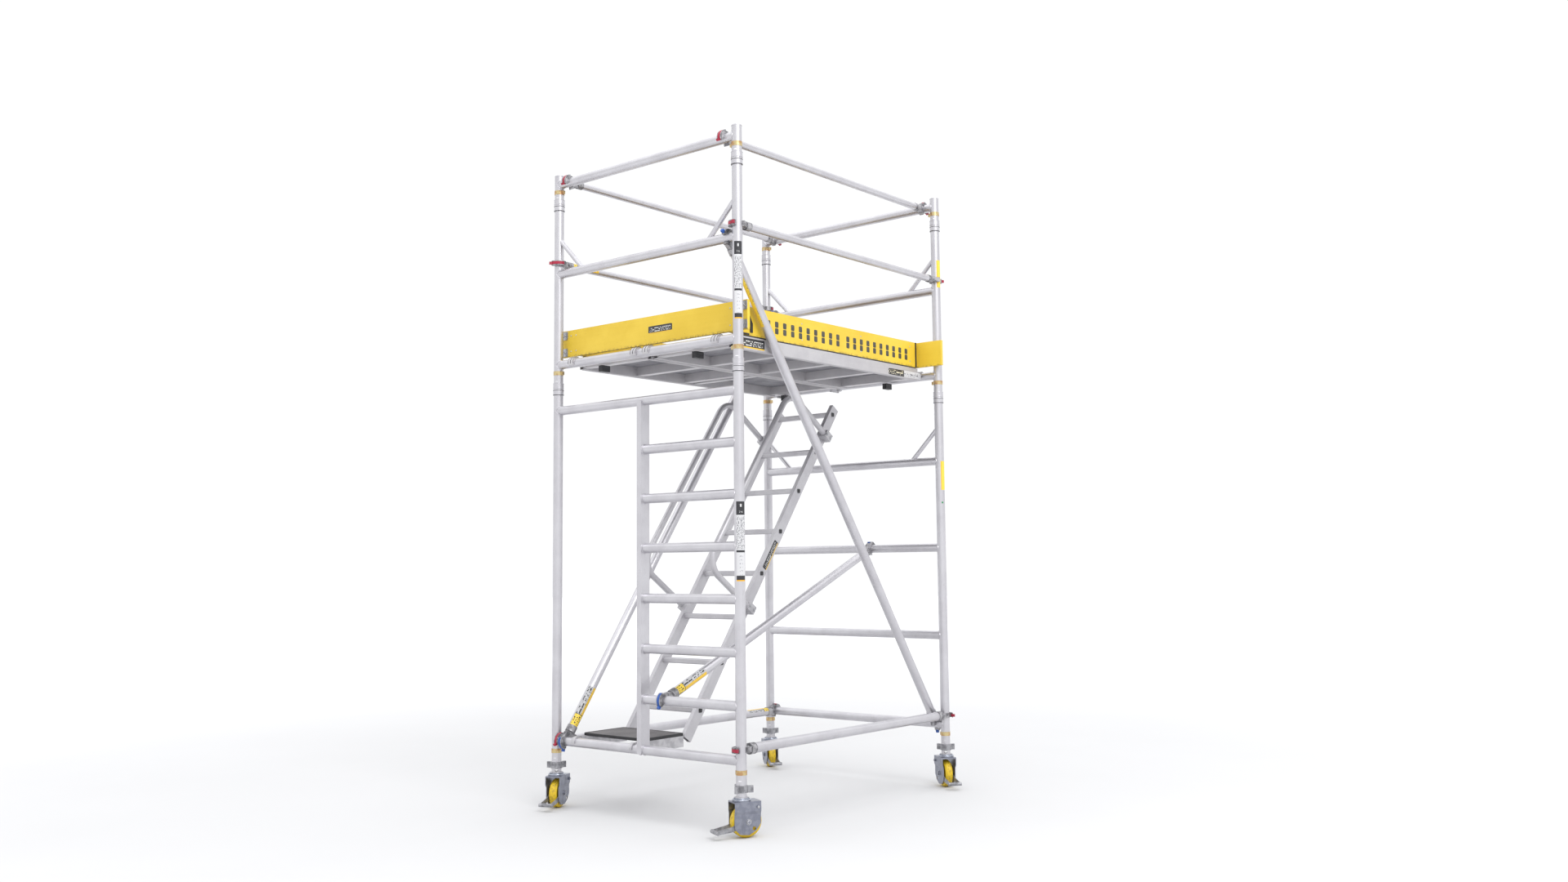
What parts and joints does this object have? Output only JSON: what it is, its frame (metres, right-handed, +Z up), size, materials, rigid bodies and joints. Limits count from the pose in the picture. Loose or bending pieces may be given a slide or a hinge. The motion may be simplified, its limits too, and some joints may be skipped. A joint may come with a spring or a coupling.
{
  "type": "mobile tower scaffold",
  "caption": "Mobile aluminium tower scaffold: braced end frames on braked casters, an internal stair, a platform with toe boards and trapdoor, and guard rails",
  "frame": {"origin": "middle of the whole box on the ground, 31 mm and 23 mm from the middle of the four posts because the casters point one way", "axes": "+X from the ladder end to the plain end, +Y from the near side to the far side, +Z up"},
  "size_m": [1.9839, 1.5281, 3.4],
  "materials": {
    "frame_aluminium": "brushed",
    "brace_aluminium": "brushed",
    "cast_claw": "matte",
    "zinc_yellow": "satin",
    "zinc_steel": "satin",
    "deck_aluminium": "brushed",
    "plywood": "matte",
    "yellow_board": "matte",
    "galvanised": "matte",
    "black_plastic": "matte",
    "cast_nut": "matte",
    "yellow_wheel": "matte",
    "red_trigger": "satin",
    "blue_trigger": "satin"
  },
  "bodies": {
    "tower": {"base_frame_ladder": "frame_aluminium", "base_frame_plain": "frame_aluminium", "upper_frame_ladder_end": "frame_aluminium", "upper_frame_plain_end": "frame_aluminium", "top_rail_frames": "frame_aluminium", "interlock_clips": "zinc_yellow", "level_brace_tubes": "brace_aluminium", "level_brace_claws": "cast_claw", "diagonal_brace_tubes": "brace_aluminium", "diagonal_brace_claws": "cast_claw", "deck_frames": "deck_aluminium", "deck_boards": "plywood", "toe_boards": "yellow_board", "toe_brackets": "galvanised", "toe_clips": "black_plastic", "stair": "deck_aluminium", "tread_plugs": "black_plastic", "stair_fittings": "cast_claw", "stair_handrails": "brace_aluminium"},
    "leg_a": {"leg_a": "frame_aluminium"},
    "jack_nut_a": {"jack_nut_a": "cast_nut"},
    "fork_a": {"fork_a": "zinc_steel"},
    "wheel_a": {"wheel_a": "yellow_wheel"},
    "brake_pedal_a": {"brake_pedal_a": "zinc_steel"},
    "leg_b": {"leg_b": "frame_aluminium"},
    "jack_nut_b": {"jack_nut_b": "cast_nut"},
    "fork_b": {"fork_b": "zinc_steel"},
    "wheel_b": {"wheel_b": "yellow_wheel"},
    "brake_pedal_b": {"brake_pedal_b": "zinc_steel"},
    "leg_c": {"leg_c": "frame_aluminium"},
    "jack_nut_c": {"jack_nut_c": "cast_nut"},
    "fork_c": {"fork_c": "zinc_steel"},
    "wheel_c": {"wheel_c": "yellow_wheel"},
    "brake_pedal_c": {"brake_pedal_c": "zinc_steel"},
    "leg_d": {"leg_d": "frame_aluminium"},
    "jack_nut_d": {"jack_nut_d": "cast_nut"},
    "fork_d": {"fork_d": "zinc_steel"},
    "wheel_d": {"wheel_d": "yellow_wheel"},
    "brake_pedal_d": {"brake_pedal_d": "zinc_steel"},
    "trigger_level_near_near": {"trigger_level_near_near": "red_trigger"},
    "trigger_level_near_far": {"trigger_level_near_far": "red_trigger"},
    "trigger_level_far_near": {"trigger_level_far_near": "red_trigger"},
    "trigger_level_far_far": {"trigger_level_far_far": "red_trigger"},
    "trigger_guard_near_near": {"trigger_guard_near_near": "red_trigger"},
    "trigger_guard_near_far": {"trigger_guard_near_far": "red_trigger"},
    "trigger_guard_far_near": {"trigger_guard_far_near": "red_trigger"},
    "trigger_guard_far_far": {"trigger_guard_far_far": "red_trigger"},
    "trigger_rail_near_near": {"trigger_rail_near_near": "red_trigger"},
    "trigger_rail_near_far": {"trigger_rail_near_far": "red_trigger"},
    "trigger_rail_far_near": {"trigger_rail_far_near": "red_trigger"},
    "trigger_rail_far_far": {"trigger_rail_far_far": "red_trigger"},
    "trigger_diagonal_near_near": {"trigger_diagonal_near_near": "blue_trigger"},
    "trigger_diagonal_near_far": {"trigger_diagonal_near_far": "blue_trigger"},
    "trigger_diagonal_far_near": {"trigger_diagonal_far_near": "blue_trigger"},
    "trigger_diagonal_far_far": {"trigger_diagonal_far_far": "blue_trigger"},
    "trigger_diagonal_inner_near": {"trigger_diagonal_inner_near": "blue_trigger"},
    "trigger_diagonal_inner_far": {"trigger_diagonal_inner_far": "blue_trigger"},
    "hatch": {"hatch": "plywood"},
    "wind_latches_near": {"wind_latches_near": "black_plastic"},
    "wind_latches_far": {"wind_latches_far": "black_plastic"}
  },
  "joints": [
    {"name": "nut_turn_a", "type": "hinge", "parent": "tower", "child": "jack_nut_a", "pos_m": [-0.8461, 0.6732, 0.222], "axis": [0, 0, 1], "range_deg": [0, 7200]},
    {"name": "leg_slide_a", "type": "slide", "parent": "tower", "child": "leg_a", "axis": [0, 0, -1], "range_m": [0, 0.2]},
    {"name": "swivel_a", "type": "hinge", "parent": "leg_a", "child": "fork_a", "pos_m": [-0.8461, 0.6732, 0.18], "axis": [0, 0, 1], "continuous": true},
    {"name": "wheel_roll_a", "type": "hinge", "parent": "fork_a", "child": "wheel_a", "pos_m": [-0.82805, 0.68181, 0.075], "axis": [-0.4305, 0.9026, 0], "continuous": true},
    {"name": "pedal_tilt_a", "type": "hinge", "parent": "fork_a", "child": "brake_pedal_a", "pos_m": [-0.82805, 0.68181, 0.075], "axis": [-0.4305, 0.9026, 0], "range_deg": [0, 16]},
    {"name": "nut_turn_b", "type": "hinge", "parent": "tower", "child": "jack_nut_b", "pos_m": [-0.8461, -0.6268, 0.222], "axis": [0, 0, 1], "range_deg": [0, 7200]},
    {"name": "leg_slide_b", "type": "slide", "parent": "tower", "child": "leg_b", "axis": [0, 0, -1], "range_m": [0, 0.2]},
    {"name": "swivel_b", "type": "hinge", "parent": "leg_b", "child": "fork_b", "pos_m": [-0.8461, -0.6268, 0.18], "axis": [0, 0, 1], "continuous": true},
    {"name": "wheel_roll_b", "type": "hinge", "parent": "fork_b", "child": "wheel_b", "pos_m": [-0.82812, -0.63557, 0.075], "axis": [0.4384, 0.8988, 0], "continuous": true},
    {"name": "pedal_tilt_b", "type": "hinge", "parent": "fork_b", "child": "brake_pedal_b", "pos_m": [-0.82812, -0.63557, 0.075], "axis": [0.4384, 0.8988, 0], "range_deg": [0, 16]},
    {"name": "nut_turn_c", "type": "hinge", "parent": "tower", "child": "jack_nut_c", "pos_m": [0.9089, -0.6268, 0.222], "axis": [0, 0, 1], "range_deg": [0, 7200]},
    {"name": "leg_slide_c", "type": "slide", "parent": "tower", "child": "leg_c", "axis": [0, 0, -1], "range_m": [0, 0.2]},
    {"name": "swivel_c", "type": "hinge", "parent": "leg_c", "child": "fork_c", "pos_m": [0.9089, -0.6268, 0.18], "axis": [0, 0, 1], "continuous": true},
    {"name": "wheel_roll_c", "type": "hinge", "parent": "fork_c", "child": "wheel_c", "pos_m": [0.92099, -0.61087, 0.075], "axis": [-0.7965, 0.6046, 0], "continuous": true},
    {"name": "pedal_tilt_c", "type": "hinge", "parent": "fork_c", "child": "brake_pedal_c", "pos_m": [0.92099, -0.61087, 0.075], "axis": [-0.7965, 0.6046, 0], "range_deg": [0, 16]},
    {"name": "nut_turn_d", "type": "hinge", "parent": "tower", "child": "jack_nut_d", "pos_m": [0.9089, 0.6732, 0.222], "axis": [0, 0, 1], "range_deg": [0, 7200]},
    {"name": "leg_slide_d", "type": "slide", "parent": "tower", "child": "leg_d", "axis": [0, 0, -1], "range_m": [0, 0.2]},
    {"name": "swivel_d", "type": "hinge", "parent": "leg_d", "child": "fork_d", "pos_m": [0.9089, 0.6732, 0.18], "axis": [0, 0, 1], "continuous": true},
    {"name": "wheel_roll_d", "type": "hinge", "parent": "fork_d", "child": "wheel_d", "pos_m": [0.92091, 0.68919, 0.075], "axis": [-0.7997, 0.6004, 0], "continuous": true},
    {"name": "pedal_tilt_d", "type": "hinge", "parent": "fork_d", "child": "brake_pedal_d", "pos_m": [0.92091, 0.68919, 0.075], "axis": [-0.7997, 0.6004, 0], "range_deg": [0, 16]},
    {"name": "hatch_swing", "type": "hinge", "parent": "tower", "child": "hatch", "pos_m": [0.4624, 0.5492, 2.396], "axis": [-1, 0, 0], "range_deg": [0, 88]},
    {"name": "wind_latch_near", "type": "slide", "parent": "tower", "child": "wind_latches_near", "axis": [0, 1, 0], "range_m": [-0.03, 0]},
    {"name": "wind_latch_far", "type": "slide", "parent": "tower", "child": "wind_latches_far", "axis": [0, 1, 0], "range_m": [-0.03, 0]},
    {"name": "release_level_near_near", "type": "hinge", "parent": "tower", "child": "trigger_level_near_near", "pos_m": [-0.8461, -0.6268, 0.4], "axis": [0, 0, 1], "range_deg": [-30, 0], "stiffness_Nm_per_rad": 0.5, "springref_deg": 11.46},
    {"name": "release_level_near_far", "type": "hinge", "parent": "tower", "child": "trigger_level_near_far", "pos_m": [0.9089, -0.6268, 0.4], "axis": [0, 0, -1], "range_deg": [-30, 0], "stiffness_Nm_per_rad": 0.5, "springref_deg": 11.46},
    {"name": "release_level_far_near", "type": "hinge", "parent": "tower", "child": "trigger_level_far_near", "pos_m": [-0.8461, 0.6332, 0.35], "axis": [0, -1, 0], "range_deg": [-30, 0], "stiffness_Nm_per_rad": 0.5, "springref_deg": 11.46},
    {"name": "release_level_far_far", "type": "hinge", "parent": "tower", "child": "trigger_level_far_far", "pos_m": [0.9089, 0.6332, 0.35], "axis": [0, 1, 0], "range_deg": [-30, 0], "stiffness_Nm_per_rad": 0.5, "springref_deg": 11.46},
    {"name": "release_guard_near_near", "type": "hinge", "parent": "tower", "child": "trigger_guard_near_near", "pos_m": [-0.8461, -0.6268, 2.91], "axis": [0, 0, 1], "range_deg": [-30, 0], "stiffness_Nm_per_rad": 0.5, "springref_deg": 11.46},
    {"name": "release_guard_near_far", "type": "hinge", "parent": "tower", "child": "trigger_guard_near_far", "pos_m": [0.9089, -0.6268, 2.91], "axis": [0, 0, -1], "range_deg": [-30, 0], "stiffness_Nm_per_rad": 0.5, "springref_deg": 11.46},
    {"name": "release_guard_far_near", "type": "hinge", "parent": "tower", "child": "trigger_guard_far_near", "pos_m": [-0.8461, 0.6732, 2.91], "axis": [0, 0, -1], "range_deg": [-30, 0], "stiffness_Nm_per_rad": 0.5, "springref_deg": 11.46},
    {"name": "release_guard_far_far", "type": "hinge", "parent": "tower", "child": "trigger_guard_far_far", "pos_m": [0.9089, 0.6732, 2.91], "axis": [0, 0, 1], "range_deg": [-30, 0], "stiffness_Nm_per_rad": 0.5, "springref_deg": 11.46},
    {"name": "release_rail_near_near", "type": "hinge", "parent": "tower", "child": "trigger_rail_near_near", "pos_m": [-0.8461, -0.5468, 3.35], "axis": [0, -1, 0], "range_deg": [-30, 0], "stiffness_Nm_per_rad": 0.5, "springref_deg": 11.46},
    {"name": "release_rail_near_far", "type": "hinge", "parent": "tower", "child": "trigger_rail_near_far", "pos_m": [0.9089, -0.5468, 3.35], "axis": [0, 1, 0], "range_deg": [-30, 0], "stiffness_Nm_per_rad": 0.5, "springref_deg": 11.46},
    {"name": "release_rail_far_near", "type": "hinge", "parent": "tower", "child": "trigger_rail_far_near", "pos_m": [-0.8461, 0.5932, 3.35], "axis": [0, -1, 0], "range_deg": [-30, 0], "stiffness_Nm_per_rad": 0.5, "springref_deg": 11.46},
    {"name": "release_rail_far_far", "type": "hinge", "parent": "tower", "child": "trigger_rail_far_far", "pos_m": [0.9089, 0.5932, 3.35], "axis": [0, 1, 0], "range_deg": [-30, 0], "stiffness_Nm_per_rad": 0.5, "springref_deg": 11.46},
    {"name": "release_diagonal_near_near", "type": "hinge", "parent": "tower", "child": "trigger_diagonal_near_near", "pos_m": [-0.8461, -0.5648, 2.85], "axis": [0, -1, 0], "range_deg": [-30, 0], "stiffness_Nm_per_rad": 0.5, "springref_deg": 11.46},
    {"name": "release_diagonal_near_far", "type": "hinge", "parent": "tower", "child": "trigger_diagonal_near_far", "pos_m": [0.9089, -0.5648, 0.35], "axis": [0, 1, 0], "range_deg": [-30, 0], "stiffness_Nm_per_rad": 0.5, "springref_deg": 11.46},
    {"name": "release_diagonal_far_near", "type": "hinge", "parent": "tower", "child": "trigger_diagonal_far_near", "pos_m": [-0.8461, 0.6052, 0.35], "axis": [0, -1, 0], "range_deg": [-30, 0], "stiffness_Nm_per_rad": 0.5, "springref_deg": 11.46},
    {"name": "release_diagonal_far_far", "type": "hinge", "parent": "tower", "child": "trigger_diagonal_far_far", "pos_m": [0.9089, 0.6052, 2.85], "axis": [0, 1, 0], "range_deg": [-30, 0], "stiffness_Nm_per_rad": 0.5, "springref_deg": 11.46},
    {"name": "release_diagonal_inner_near", "type": "hinge", "parent": "tower", "child": "trigger_diagonal_inner_near", "pos_m": [-0.8461, -0.1218, 0.6], "axis": [0, -1, 0], "range_deg": [-30, 0], "stiffness_Nm_per_rad": 0.5, "springref_deg": 11.46},
    {"name": "release_diagonal_inner_far", "type": "hinge", "parent": "tower", "child": "trigger_diagonal_inner_far", "pos_m": [0.9089, -0.1218, 1.35], "axis": [0, 1, 0], "range_deg": [-30, 0], "stiffness_Nm_per_rad": 0.5, "springref_deg": 11.46}
  ],
  "couplings": [
    {"joint": "leg_slide_a", "follows": "nut_turn_a", "m_per_rad": 0.0015915},
    {"joint": "leg_slide_b", "follows": "nut_turn_b", "m_per_rad": 0.0015915},
    {"joint": "leg_slide_c", "follows": "nut_turn_c", "m_per_rad": 0.0015915},
    {"joint": "leg_slide_d", "follows": "nut_turn_d", "m_per_rad": 0.0015915}
  ]
}
